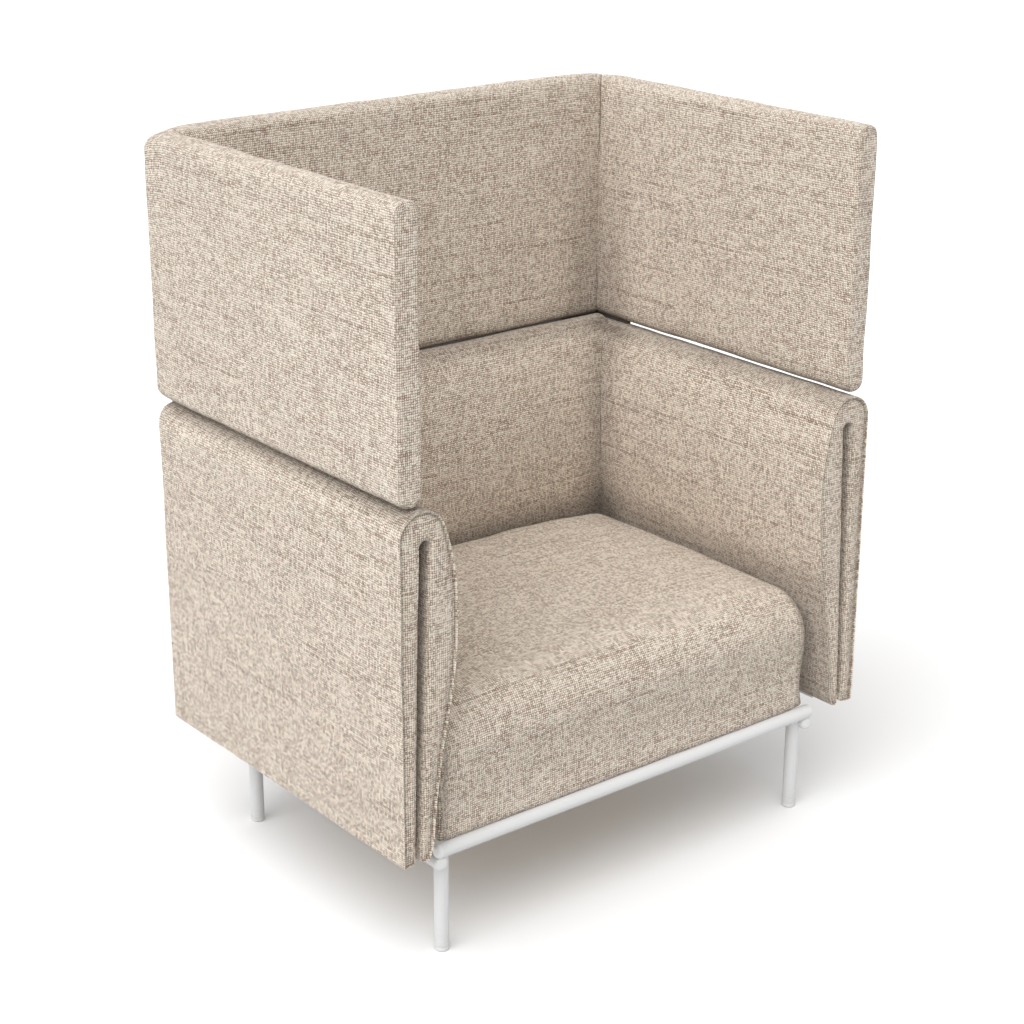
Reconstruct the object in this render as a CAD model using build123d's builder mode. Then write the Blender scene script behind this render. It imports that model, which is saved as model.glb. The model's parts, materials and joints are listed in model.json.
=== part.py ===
from build123d import *

import os
from math import cos, radians, sin

os.makedirs("parts", exist_ok=True)

# High back lounge chair with a padded acoustic screen, in millimetres.
# The origin is on the floor under the middle of the chair. -Y is the open
# front, +Z is up, and left and right are as seen from the front.
sides = (("left", -1), ("right", 1))

# main sizes
pad_half = 508.0        # outer faces of the arms, from the middle
pad_depth = 707.0
arm_top = 795.0
back_pad_rise = 9.5     # back pad above the arms
screen_half = 500.0
screen_depth = 709.0
screen_height = 467.0
screen_gap = 4.0        # screen above the arms
screen_behind = 13.0    # screen past the back of the pads
depth = pad_depth + screen_behind

# clearances
soft_gap = 0.3          # round each soft solid
weld_gap = 0.1          # between coped tubes
stem_gap = 0.15         # round a stem in its bore

# steel tube of the base
tube_dia = 25.0
tube_wall = 2.0
rail_past = 2.0         # cross rail tubes past the side rail axis
front_rail_setback = 28.4   # behind the front of the pads
rear_rail_inset = 81.1      # ahead of the back of the pads
cross_rail_z = 194.5
side_rail_inset = 91.0      # inside the outer faces of the arms
side_rail_drop = 22.0   # side rail axis below the cross rail axis
leg_inboard = 14.2      # leg axis inside the side rail axis
leg_inset = 16.8        # leg axis inside the cross rail axis
leg_rise = 12.0         # leg tube above the side rail axis
plug_dome = 8.0
plug_round = 7.0
plug_stem = 18.0

# glides
glide_height = 7.0
glide_round = 3.0
glide_stem = 22.0

# seat
bearer_size = 20.0
bearer_wall = 1.5
bearer_pitch = 230.0
board_margin = 21.0     # seat board inside the cushion's sides
board_end = 19.0        # and inside its front and back
board_thick = 15.0
board_corner = 30.0
seat_inset = 95.0       # cushion inside the outer faces of the arms
seat_setback = 23.0
seat_to_back = 104.0    # cushion ahead of the back of the pads
seat_edge_z = 427.0     # top of the seat at its sides
seat_crown = 24.0       # rise of the middle above the sides
seat_sag = 5.0          # drop from mid depth to the back edge
nose_depth = 74.0       # rounded front edge
nose_height = 92.0
seat_draw = 5.0         # front face drawn in at the bottom
seat_back_round = 16.0
seat_side_round = 15.0
screw_dia = 5.0
screw_head_dia = 10.0
screw_head = 3.0
screw_bite = 10.0       # into the board
screw_margin = 60.0     # from the board's front and back edges

# folded pads of the arms and the back
pad_bottom = 203.5
fold_radius = 45.0
fold_short = 18.0       # degrees that the fold stops above level, inside
leaf_taper = 4.0        # outer leaf, rounded in at the bottom
leaf_turn = 9.0
bulge_z = 615.0
arm_bulge = 111.0       # inner face from the outer face
back_bulge = 116.0
waist_z = 465.0
arm_waist = 95.5
back_waist = 104.0
knee_z = 300.0
knee = 67.0
ankle_z = 228.0
ankle = 60.0
tail = 48.0
slot_axis = 49.5        # top of the slot, from the outer face
slot_inner_foot = 34.5
slot_outer_foot = 25.0
slot_end_drop = 14.0    # below the axis of the fold
pad_edge_round = 3.0
back_pad_cover = 56.0   # arms past the ends of the back pad

# frame inside the folds
fold_tube_dia = 20.0
fold_tube_wall = 1.5
fold_tube_inset = 34.0
sheet_thick = 3.0
sheet_inset = 70.0
back_sheet_cover = 138.0    # outer faces of the arms past the sheet's ends
foot_width = 40.0
foot_thick = 4.0
foot_setback = 170.0
foot_pitch = 340.0
foot_inboard = 12.0     # past the side rail axis
foot_outboard = 6.0     # past the sheet
bolt_dia = 8.0
bolt_head_dia = 14.0
bolt_head = 5.0
bolt_below = 8.0        # shank under the tube wall

# screen
screen_thick = 44.0
screen_corner = 4.0
screen_outer_edge = 20.0
screen_inner_edge = 18.0
screen_front_edge = 6.0
board_cover = 12.7      # padding outside the side boards
screen_board = 12.0
board_rim = 14.0        # padding past the board's edges
board_chamfer = 10.0

# posts and band that carry the screen
post_x = 260.0
post_width = 40.0
post_thick = 5.0
post_reach = 201.0      # posts above the bottom of the screen
post_foot_thick = 6.0
post_foot_reach = 16.0  # past the rear rail axis
post_screw_dia = 6.0
post_screw_head = 12.0
post_screw_bite = 9.0
post_screw_rises = (31.0, 106.0, 181.0)     # above the bottom of the screen
band_half = 478.0
band_thick = 3.0
band_drop = 59.0        # band below and above the bottom of the screen
band_reach = 51.0
rest_inset = 50.0       # blocks inside the outer faces of the arms
rest_width = 12.0
rest_length = 95.0
rest_end = 17.0         # ahead of the back of the pads
rest_round = 5.0
corner_screw_dia = 4.0
corner_screw_head = 8.0
corner_screw_long = 40.0
corner_screw_rim = 60.0

# sizes that follow
pad_front = -depth / 2
pad_back = pad_front + pad_depth
screen_back = depth / 2
screen_front = screen_back - screen_depth
screen_bottom = arm_top + screen_gap
tube_r = tube_dia / 2
bore_r = tube_r - tube_wall
front_rail_y = pad_front + front_rail_setback
rear_rail_y = pad_back - rear_rail_inset
side_rail_x = pad_half - side_rail_inset
side_rail_z = cross_rail_z - side_rail_drop
rail_half = side_rail_x + rail_past
leg_x = side_rail_x - leg_inboard
front_leg_y = front_rail_y + leg_inset
rear_leg_y = rear_rail_y - leg_inset
seat_half = pad_half - seat_inset
seat_front = pad_front + seat_setback
seat_back = pad_back - seat_to_back
seat_under = cross_rail_z + tube_r
board_half = seat_half - board_margin
board_front = seat_front + board_end
board_back = seat_back - board_end
back_pad_half = pad_half - back_pad_cover
back_sheet_half = pad_half - back_sheet_cover
foot_ys = (pad_front + foot_setback, pad_front + foot_setback + foot_pitch)
rest_x = pad_half - rest_inset
rest_back = pad_back - rest_end
rest_front = rest_back - rest_length
arm_fold_z = arm_top - fold_radius
back_pad_top = arm_top + back_pad_rise
slot_r = fold_tube_dia / 2 + soft_gap
foot_z = side_rail_z + tube_r
sheet_foot_z = foot_z + foot_thick
band_face = pad_back + soft_gap
post_face = band_face + band_thick
post_foot_z = cross_rail_z - tube_r
screen_top = screen_bottom + screen_height
post_top = screen_bottom + post_reach
band_low = screen_bottom - band_drop
band_high = screen_bottom + band_reach
post_screw_zs = [screen_bottom + rise for rise in post_screw_rises]
board_outer = screen_half - board_cover
board_rear = band_face
cross_rails = (("front_rail", front_rail_y), ("rear_rail", rear_rail_y))
legs = (("front", front_leg_y, front_rail_y), ("rear", rear_leg_y, rear_rail_y))


def save(piece, name):
    piece.part.label = name
    export_step(piece.part, "parts/" + name + ".step")


def ring(radius, wall):
    Circle(radius)
    Circle(radius - wall, mode=Mode.SUBTRACT)


def plug(end):
    # a domed head outside the tube's end and a stem inside it
    with Locations(end):
        Cylinder(tube_r, plug_dome, align=(Align.CENTER, Align.CENTER, Align.MIN))
        Cylinder(
            bore_r - stem_gap, plug_stem, align=(Align.CENTER, Align.CENTER, Align.MAX)
        )


# Cross rails, under the front and back of the seat
for name, rail_y in cross_rails:
    with BuildPart() as rail:
        with BuildSketch(Plane.YZ.offset(-rail_half)):
            with Locations((rail_y, cross_rail_z)):
                ring(tube_r, tube_wall)
        extrude(amount=2 * rail_half)
        if name == "rear_rail":
            with Locations((-post_x, rail_y, post_foot_z), (post_x, rail_y, post_foot_z)):
                Cylinder(bolt_dia / 2, 4 * tube_wall, mode=Mode.SUBTRACT)
    save(rail, name)

with BuildPart() as cross_rail_plugs:
    for name, rail_y in cross_rails:
        for side, sx in sides:
            end = Plane(origin=(sx * rail_half, rail_y, cross_rail_z), z_dir=(sx, 0, 0))
            plug(end)
    tips = cross_rail_plugs.faces().filter_by(Axis.X).filter_by(
        lambda face: abs(face.center().X) > rail_half + plug_dome / 2
    )
    fillet(tips.edges(), plug_round)
save(cross_rail_plugs, "cross_rail_plugs")


# Side rails, welded under the cross rails
for side, sx in sides:
    with BuildPart() as side_rail:
        with BuildSketch(Plane.XZ.offset(-rear_rail_y)):
            with Locations((sx * side_rail_x, side_rail_z)):
                ring(tube_r, tube_wall)
        extrude(amount=rear_rail_y - front_rail_y)
        for name, rail_y in cross_rails:
            with Locations((sx * side_rail_x, rail_y, cross_rail_z)):
                Cylinder(tube_r + weld_gap, 3 * tube_dia, rotation=(0, 90, 0), mode=Mode.SUBTRACT)
        for foot_y in foot_ys:
            with Locations((sx * side_rail_x, foot_y, side_rail_z + tube_r)):
                Cylinder(bolt_dia / 2, 4 * tube_wall, mode=Mode.SUBTRACT)
    save(side_rail, side + "_side_rail")

with BuildPart() as side_rail_plugs:
    for side, sx in sides:
        for rail_y, sy in ((front_rail_y, -1), (rear_rail_y, 1)):
            end = Plane(origin=(sx * side_rail_x, rail_y, side_rail_z), z_dir=(0, sy, 0))
            plug(end)
    tips = side_rail_plugs.faces().filter_by(Axis.Y).sort_by(Axis.Y)
    fillet(tips[:2].edges() + tips[-2:].edges(), plug_round)
    for name, rail_y in cross_rails:
        with Locations((0, rail_y, cross_rail_z)):
            Cylinder(tube_r + weld_gap, 2 * pad_half, rotation=(0, 90, 0), mode=Mode.SUBTRACT)
save(side_rail_plugs, "side_rail_plugs")


# Legs and their glides
for side, sx in sides:
    for end, leg_y, rail_y in legs:
        with BuildPart() as leg:
            with BuildSketch(Plane.XY.offset(glide_height)):
                with Locations((sx * leg_x, leg_y)):
                    ring(tube_r, tube_wall)
            extrude(amount=side_rail_z + leg_rise - glide_height)
            with Locations((sx * side_rail_x, leg_y, side_rail_z)):
                Cylinder(tube_r + weld_gap, 4 * tube_dia, rotation=(90, 0, 0), mode=Mode.SUBTRACT)
            with Locations((sx * leg_x, rail_y, cross_rail_z)):
                Cylinder(tube_r + weld_gap, 4 * tube_dia, rotation=(0, 90, 0), mode=Mode.SUBTRACT)
        save(leg, side + "_" + end + "_leg")

        with BuildPart() as glide:
            with BuildSketch():
                with Locations((sx * leg_x, leg_y)):
                    Circle(tube_r)
            extrude(amount=glide_height)
            fillet(glide.edges().group_by(Axis.Z)[0], glide_round)
            with BuildSketch(Plane.XY.offset(glide_height)):
                with Locations((sx * leg_x, leg_y)):
                    Circle(bore_r - stem_gap)
            extrude(amount=glide_stem)
        save(glide, side + "_" + end + "_glide")


# Square bearers between the cross rails, level with their tops
bearer_xs = (-bearer_pitch, 0.0, bearer_pitch)
screw_ys = (board_front + screw_margin, board_back - screw_margin)
for name, bearer_x in zip(("left", "middle", "right"), bearer_xs):
    with BuildPart() as bearer:
        with BuildSketch(Plane.XZ.offset(-rear_rail_y)):
            with Locations((bearer_x, seat_under - bearer_size / 2)):
                Rectangle(bearer_size, bearer_size)
                Rectangle(
                    bearer_size - 2 * bearer_wall, bearer_size - 2 * bearer_wall, mode=Mode.SUBTRACT
                )
        extrude(amount=rear_rail_y - front_rail_y)
        for rail, rail_y in cross_rails:
            with Locations((bearer_x, rail_y, cross_rail_z)):
                Cylinder(tube_r + weld_gap, 2 * tube_dia, rotation=(0, 90, 0), mode=Mode.SUBTRACT)
        for screw_y in screw_ys:
            with Locations((bearer_x, screw_y, seat_under - bearer_size / 2)):
                Cylinder(screw_dia / 2 + stem_gap, 2 * bearer_size, mode=Mode.SUBTRACT)
    save(bearer, name + "_bearer")

with BuildPart() as seat_board:
    with BuildSketch(Plane.XY.offset(seat_under)):
        with Locations((0, (board_front + board_back) / 2)):
            RectangleRounded(2 * board_half, board_back - board_front, board_corner)
    extrude(amount=board_thick)
    for bearer_x in bearer_xs:
        for screw_y in screw_ys:
            with Locations((bearer_x, screw_y, seat_under)):
                Cylinder(screw_dia / 2, 2 * screw_bite, mode=Mode.SUBTRACT)
save(seat_board, "seat_board")

with BuildPart() as seat_screws:
    for bearer_x in bearer_xs:
        for screw_y in screw_ys:
            with BuildSketch(Plane.XY.offset(seat_under - bearer_size - screw_head)):
                with Locations((bearer_x, screw_y)):
                    Circle(screw_head_dia / 2)
            extrude(amount=screw_head)
            with BuildSketch(Plane.XY.offset(seat_under - bearer_size)):
                with Locations((bearer_x, screw_y)):
                    Circle(screw_dia / 2)
            extrude(amount=bearer_size + screw_bite)
save(seat_screws, "seat_screws")


# Seat cushion: sections across the seat, crowned to the middle
def seat_section(share):
    front = seat_front + seat_draw * share**4 / 2
    top = seat_edge_z + seat_crown * (1 - share**4)
    under = seat_under + soft_gap
    with BuildLine() as section:
        base = Line((front + seat_draw, under), (seat_back, under))
        rear = Line(base @ 1, (seat_back, top - seat_sag - seat_back_round))
        turn = TangentArc(
            rear @ 1, (seat_back - seat_back_round, top - seat_sag), tangent=rear % 1
        )
        middle = (seat_back + front) / 2
        crown = ThreePointArc(turn @ 1, (middle, top), (front + nose_depth, top - seat_sag / 2))
        nose = TangentArc(crown @ 1, (front, top - nose_height), tangent=crown % 1)
        TangentArc(nose @ 1, base @ 0, tangent=nose % 1)
    return section.line


with BuildPart() as seat_cushion:
    for share in (-1.0, -0.8, -0.5, 0.0, 0.5, 0.8, 1.0):
        with BuildSketch(Plane.YZ.offset(share * seat_half)):
            add(seat_section(share))
            make_face()
    loft()
    flanks = seat_cushion.faces().filter_by(Axis.X)
    rims = flanks.edges().filter_by(lambda edge: edge.center().Z > seat_under + seat_side_round)
    fillet(rims, seat_side_round)
    with BuildSketch(Plane.XY.offset(seat_under + soft_gap)):
        with Locations((0, (board_front + board_back) / 2)):
            RectangleRounded(
                2 * (board_half + soft_gap),
                board_back - board_front + 2 * soft_gap,
                board_corner + soft_gap,
            )
    extrude(amount=board_thick, mode=Mode.SUBTRACT)
save(seat_cushion, "seat_cushion")


# Folded pads: x runs inwards from the outer face, y is the height
def slot_top(pad_top):
    return pad_top - fold_radius - slot_end_drop


def fold_outline(pad_top, bulge, waist, slotted):
    turn = radians(fold_short)
    fold_z = pad_top - fold_radius
    slot_end_z = slot_top(pad_top)
    brow = (fold_radius * (1 + cos(turn)), fold_z + fold_radius * sin(turn))
    with BuildLine() as outline:
        outer = Line((0, pad_bottom + leaf_turn), (0, fold_z))
        fold = TangentArc(outer @ 1, brow, tangent=outer % 1)
        chest = TangentArc(fold @ 1, (bulge, bulge_z), tangent=fold % 1)
        belly = TangentArc(chest @ 1, (waist, waist_z), tangent=chest % 1)
        thigh = TangentArc(belly @ 1, (knee, knee_z), tangent=belly % 1)
        shin = TangentArc(thigh @ 1, (ankle, ankle_z), tangent=thigh % 1)
        heel = TangentArc(shin @ 1, (tail, pad_bottom), tangent=shin % 1)
        if slotted:
            Line(heel @ 1, (slot_inner_foot, pad_bottom))
            Line((slot_inner_foot, pad_bottom), (slot_axis + slot_r, slot_end_z))
            ThreePointArc(
                (slot_axis + slot_r, slot_end_z),
                (slot_axis, slot_end_z + slot_r),
                (slot_axis - slot_r, slot_end_z),
            )
            Line((slot_axis - slot_r, slot_end_z), (slot_outer_foot, pad_bottom))
            Line((slot_outer_foot, pad_bottom), (leaf_taper, pad_bottom))
        else:
            Line(heel @ 1, (leaf_taper, pad_bottom))
        TangentArc(outer @ 0, (leaf_taper, pad_bottom), tangent=(0, -1))
    return outline.line


def sheet_place(pad_top, height):
    # the sheet hangs along the slot's centre line
    slot_foot = (slot_inner_foot + slot_outer_foot) / 2
    lean = (slot_axis - slot_foot) / (slot_top(pad_top) - pad_bottom)
    return slot_foot - lean * (pad_bottom - height)


def sheet_outline(pad_top, foot_height):
    foot_x = sheet_place(pad_top, foot_height)
    slot_end_z = slot_top(pad_top)
    with BuildLine() as outline:
        Polyline(
            (slot_axis - sheet_thick / 2, slot_end_z),
            (slot_axis + sheet_thick / 2, slot_end_z),
            (foot_x + sheet_thick / 2, foot_height),
            (foot_x - sheet_thick / 2, foot_height),
            close=True,
        )
    return outline.line


def arm_plane(sx, y):
    return Plane(origin=(sx * pad_half, y, 0), x_dir=(-sx, 0, 0), z_dir=(0, sx, 0))


for side, sx in sides:
    near = pad_front if sx > 0 else pad_back
    with BuildPart() as arm_pad:
        with BuildSketch(arm_plane(sx, near)):
            add(fold_outline(arm_top, arm_bulge, arm_waist, True))
            make_face()
        extrude(amount=pad_back - pad_front)
        ends = arm_pad.faces().filter_by(Axis.Y)
        fillet(ends.edges(), pad_edge_round)
    save(arm_pad, side + "_arm_pad")

    near = pad_front + fold_tube_inset if sx > 0 else pad_back - fold_tube_inset
    with BuildPart() as arm_tube:
        with BuildSketch(arm_plane(sx, near)):
            with Locations((slot_axis, slot_top(arm_top))):
                ring(fold_tube_dia / 2, fold_tube_wall)
        extrude(amount=pad_back - pad_front - 2 * fold_tube_inset)
    save(arm_tube, side + "_arm_tube")

    near = pad_front + sheet_inset if sx > 0 else pad_back - sheet_inset
    with BuildPart() as arm_sheet:
        with BuildSketch(arm_plane(sx, near)):
            add(sheet_outline(arm_top, sheet_foot_z))
            make_face()
        extrude(amount=pad_back - pad_front - 2 * sheet_inset)
        with Locations((sx * (pad_half - slot_axis), 0, slot_top(arm_top))):
            Cylinder(
                fold_tube_dia / 2, 2 * pad_half, rotation=(90, 0, 0), mode=Mode.SUBTRACT
            )
    save(arm_sheet, side + "_arm_sheet")

    foot_out = pad_half - sheet_place(arm_top, sheet_foot_z) + foot_outboard
    foot_in = side_rail_x - foot_inboard
    with BuildPart() as arm_feet:
        for foot_y in foot_ys:
            with BuildSketch(Plane.XY.offset(foot_z)):
                with Locations((sx * (foot_in + foot_out) / 2, foot_y)):
                    Rectangle(foot_out - foot_in, foot_width)
                with Locations((sx * side_rail_x, foot_y)):
                    Circle(bolt_dia / 2 + stem_gap, mode=Mode.SUBTRACT)
            extrude(amount=foot_thick)
    save(arm_feet, side + "_arm_feet")

with BuildPart() as arm_foot_bolts:
    for side, sx in sides:
        for foot_y in foot_ys:
            with BuildSketch(Plane.XY.offset(sheet_foot_z)):
                with Locations((sx * side_rail_x, foot_y)):
                    Circle(bolt_head_dia / 2)
            extrude(amount=bolt_head)
            with BuildSketch(Plane.XY.offset(foot_z - tube_wall - bolt_below)):
                with Locations((sx * side_rail_x, foot_y)):
                    Circle(bolt_dia / 2 - stem_gap)
            extrude(amount=foot_thick + tube_wall + bolt_below)
save(arm_foot_bolts, "arm_foot_bolts")


# Back pad, cut to the arm pads at its ends, and the frame in its fold
def back_plane(x):
    return Plane(origin=(x, pad_back, 0), x_dir=(0, -1, 0), z_dir=(-1, 0, 0))


with BuildPart() as back_pad:
    with BuildSketch(back_plane(back_pad_half)):
        add(fold_outline(back_pad_top, back_bulge, back_waist, True))
        make_face()
    extrude(amount=2 * back_pad_half)
    for side, sx in sides:
        near = pad_front if sx > 0 else pad_back + 1
        with BuildSketch(arm_plane(sx, near)):
            add(fold_outline(arm_top, arm_bulge, arm_waist, False))
            make_face()
            offset(amount=soft_gap)
        extrude(amount=pad_back - pad_front + 1, mode=Mode.SUBTRACT)
save(back_pad, "back_pad")

with BuildPart() as back_tube:
    with BuildSketch(back_plane(back_sheet_half)):
        with Locations((slot_axis, slot_top(back_pad_top))):
            ring(fold_tube_dia / 2, fold_tube_wall)
    extrude(amount=2 * back_sheet_half)
save(back_tube, "back_tube")

with BuildPart() as back_sheet:
    with BuildSketch(back_plane(back_sheet_half)):
        add(sheet_outline(back_pad_top, post_foot_z))
        make_face()
    extrude(amount=2 * back_sheet_half)
    with Locations((0, pad_back - slot_axis, slot_top(back_pad_top))):
        Cylinder(fold_tube_dia / 2, 2 * pad_half, rotation=(0, 90, 0), mode=Mode.SUBTRACT)
save(back_sheet, "back_sheet")


# Band across the rear of the back pad, between the posts and the screen
with BuildPart() as screen_band:
    with BuildSketch(Plane.XZ.offset(-band_face)):
        with Locations((0, (band_low + band_high) / 2)):
            Rectangle(2 * band_half, band_high - band_low)
        for side, sx in sides:
            with Locations((sx * post_x, post_screw_zs[0])):
                Circle(post_screw_dia / 2 + stem_gap, mode=Mode.SUBTRACT)
    extrude(amount=-band_thick)
save(screen_band, "screen_band")


# Screen posts: flat bars up the rear of the back pad, footed under the rear rail
for side, sx in sides:
    with BuildPart() as post:
        with BuildSketch(Plane.YZ.offset(sx * post_x - post_width / 2)):
            with BuildLine():
                Polyline(
                    (rear_rail_y - post_foot_reach, post_foot_z),
                    (rear_rail_y - post_foot_reach, post_foot_z - post_foot_thick),
                    (post_face + post_thick, post_foot_z - post_foot_thick),
                    (post_face + post_thick, post_top),
                    (post_face, post_top),
                    (post_face, post_foot_z),
                    close=True,
                )
            make_face()
        extrude(amount=post_width)
        with Locations((sx * post_x, rear_rail_y, post_foot_z)):
            Cylinder(bolt_dia / 2 + stem_gap, 4 * post_foot_thick, mode=Mode.SUBTRACT)
        for screw_z in post_screw_zs:
            seat = Plane(origin=(sx * post_x, post_face + post_thick, screw_z), z_dir=(0, 1, 0))
            with Locations(seat):
                CounterSinkHole(
                    post_screw_dia / 2 + stem_gap,
                    post_screw_head / 2 + stem_gap,
                    depth=2 * post_thick,
                    counter_sink_angle=90,
                )
    save(post, side + "_screen_post")

with BuildPart() as post_foot_bolts:
    for side, sx in sides:
        with BuildSketch(Plane.XY.offset(post_foot_z - post_foot_thick - bolt_head)):
            with Locations((sx * post_x, rear_rail_y)):
                Circle(bolt_head_dia / 2)
        extrude(amount=bolt_head)
        with BuildSketch(Plane.XY.offset(post_foot_z - post_foot_thick)):
            with Locations((sx * post_x, rear_rail_y)):
                Circle(bolt_dia / 2 - stem_gap)
        extrude(amount=post_foot_thick + tube_wall + bolt_below)
save(post_foot_bolts, "post_foot_bolts")


# Screen boards, inside the padding
def cut_screw_holes(rear, length, radius, places):
    for x, z in places:
        with Locations((x, rear - length / 2, z)):
            Cylinder(radius, length, rotation=(90, 0, 0), mode=Mode.SUBTRACT)


board_low = screen_bottom + board_rim
board_high = screen_top - board_rim
post_screw_places = [(sx * post_x, z) for side, sx in sides for z in post_screw_zs]
corner_x = board_outer - screen_board / 2
board_middle = (board_low + board_high) / 2
corner_zs = (board_low + corner_screw_rim, board_middle, board_high - corner_screw_rim)
corner_places = [(sx * corner_x, z) for side, sx in sides for z in corner_zs]
side_board_rear = board_rear - screen_board
side_board_front = screen_front + board_rim
post_screw_long = post_thick + band_thick + post_screw_bite

with BuildPart() as back_board:
    with BuildSketch(Plane.XY.offset(board_low)):
        with Locations((0, board_rear - screen_board / 2)):
            Rectangle(2 * board_outer, screen_board)
    extrude(amount=board_high - board_low)
    corners = back_board.edges().filter_by(Axis.Z).group_by(Axis.Y)[-1]
    chamfer(corners, board_chamfer)
    cut_screw_holes(board_rear, post_screw_bite, post_screw_dia / 2, post_screw_places)
    for x, z in corner_places:
        with Locations(Plane(origin=(x, board_rear, z), z_dir=(0, 1, 0))):
            CounterSinkHole(
                corner_screw_dia / 2,
                corner_screw_head / 2,
                depth=corner_screw_long,
                counter_sink_angle=90,
            )
save(back_board, "screen_back_board")

for side, sx in sides:
    with BuildPart() as side_board:
        with BuildSketch(Plane.XY.offset(board_low)):
            with Locations((sx * corner_x, (side_board_rear + side_board_front) / 2)):
                Rectangle(screen_board, side_board_rear - side_board_front)
        extrude(amount=board_high - board_low)
        cut_screw_holes(board_rear, corner_screw_long, corner_screw_dia / 2, corner_places)
    save(side_board, side + "_screen_board")

with BuildPart() as post_screws:
    for x, z in post_screw_places:
        seat = Plane(origin=(x, post_face + post_thick, z), z_dir=(0, -1, 0))
        with BuildSketch(seat):
            Circle(post_screw_head / 2)
        extrude(amount=(post_screw_head - post_screw_dia) / 2, taper=45)
        with BuildSketch(seat):
            Circle(post_screw_dia / 2)
        extrude(amount=post_screw_long)
save(post_screws, "screen_post_screws")

with BuildPart() as corner_screws:
    for x, z in corner_places:
        seat = Plane(origin=(x, board_rear, z), z_dir=(0, -1, 0))
        with BuildSketch(seat):
            Circle(corner_screw_head / 2)
        extrude(amount=(corner_screw_head - corner_screw_dia) / 2, taper=45)
        with BuildSketch(seat):
            Circle(corner_screw_dia / 2)
        extrude(amount=corner_screw_long)
save(corner_screws, "screen_corner_screws")


# Blocks that keep the gap between the arms and the screen, saddled on the folds
with BuildPart() as rest_blocks:
    with BuildSketch(Plane.XY.offset(arm_fold_z)):
        for side, sx in sides:
            with Locations((sx * rest_x, (rest_front + rest_back) / 2)):
                RectangleRounded(rest_width, rest_back - rest_front, rest_round)
    extrude(amount=screen_bottom - soft_gap - arm_fold_z)
    for side, sx in sides:
        with Locations((sx * (pad_half - fold_radius), 0, arm_fold_z)):
            Cylinder(
                fold_radius + soft_gap, 2 * pad_half, rotation=(90, 0, 0), mode=Mode.SUBTRACT
            )
save(rest_blocks, "screen_rest_blocks")


# Screen padding: one U-shaped form, mitred into three pads
stack = post_thick + band_thick
with BuildPart() as screen_form:
    with BuildSketch(Plane.XY.offset(screen_bottom)):
        with Locations((0, (screen_front + screen_back) / 2)):
            Rectangle(2 * screen_half, screen_back - screen_front)
        with Locations((0, (screen_front + screen_back) / 2 - screen_thick)):
            Rectangle(
                2 * (screen_half - screen_thick), screen_back - screen_front, mode=Mode.SUBTRACT
            )
    extrude(amount=screen_height)
    rims = screen_form.faces().filter_by(Axis.Z).edges()
    outer_rims = rims.filter_by(
        lambda edge: edge.center().Y > screen_back - screen_thick / 2
        or abs(edge.center().X) > screen_half - screen_thick / 2
        and edge.length > screen_thick + 1
    )
    fillet(outer_rims, screen_outer_edge)
    rims = screen_form.faces().filter_by(Axis.Z).edges()
    inner_rims = rims.filter_by(
        lambda edge: edge.center().Y < screen_back - screen_thick + 1
        and abs(edge.center().X) < screen_half - screen_thick + 1
        and edge.length > screen_thick + 1
    )
    fillet(inner_rims, screen_inner_edge)
    uprights = screen_form.edges().filter_by(Axis.Z)
    fillet(uprights.group_by(Axis.Y)[-1], screen_corner)
    fronts = screen_form.faces().filter_by(Axis.Y).group_by(Axis.Y)[0]
    fillet(fronts.edges(), screen_front_edge)
    # room for the boards and the posts
    for side, sx in sides:
        with Locations((sx * corner_x, (board_rear + side_board_front) / 2, board_middle)):
            Box(
                screen_board + 2 * soft_gap,
                board_rear - side_board_front + 2 * soft_gap,
                board_high - board_low + 2 * soft_gap,
                mode=Mode.SUBTRACT,
            )
        with Locations((sx * post_x, band_face + stack / 2, (screen_bottom + post_top) / 2)):
            Box(
                post_width + 2 * soft_gap,
                stack + 2 * soft_gap,
                post_top - screen_bottom + 2 * soft_gap,
                mode=Mode.SUBTRACT,
            )
    with Locations((0, band_face + band_thick / 2, (screen_bottom + band_high) / 2)):
        Box(
            2 * (band_half + soft_gap),
            band_thick + 2 * soft_gap,
            band_high - screen_bottom + 2 * soft_gap,
            mode=Mode.SUBTRACT,
        )
    with Locations((0, board_rear - screen_board / 2, board_middle)):
        Box(
            2 * (board_outer + soft_gap),
            screen_board + 2 * soft_gap,
            board_high - board_low + 2 * soft_gap,
            mode=Mode.SUBTRACT,
        )

inner_corner = (screen_half - screen_thick, screen_back - screen_thick)
mitres = {
    side: Plane(origin=(sx * inner_corner[0], inner_corner[1], 0), z_dir=(sx, -1, 0))
    for side, sx in sides
}
for side, sx in sides:
    with BuildPart() as side_pad:
        add(screen_form.part)
        split(bisect_by=mitres[side], keep=Keep.TOP)
        half_plane = Plane(origin=(0, 0, 0), z_dir=(sx, 0, 0))
        split(bisect_by=half_plane, keep=Keep.TOP)
    save(side_pad, side + "_screen_pad")

with BuildPart() as back_screen_pad:
    add(screen_form.part)
    for side, sx in sides:
        split(bisect_by=mitres[side], keep=Keep.BOTTOM)
save(back_screen_pad, "back_screen_pad")
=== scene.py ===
import json
from math import cos, pi, radians, sin, sqrt

import bpy
import numpy as np
from mathutils import Matrix, Vector


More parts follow.
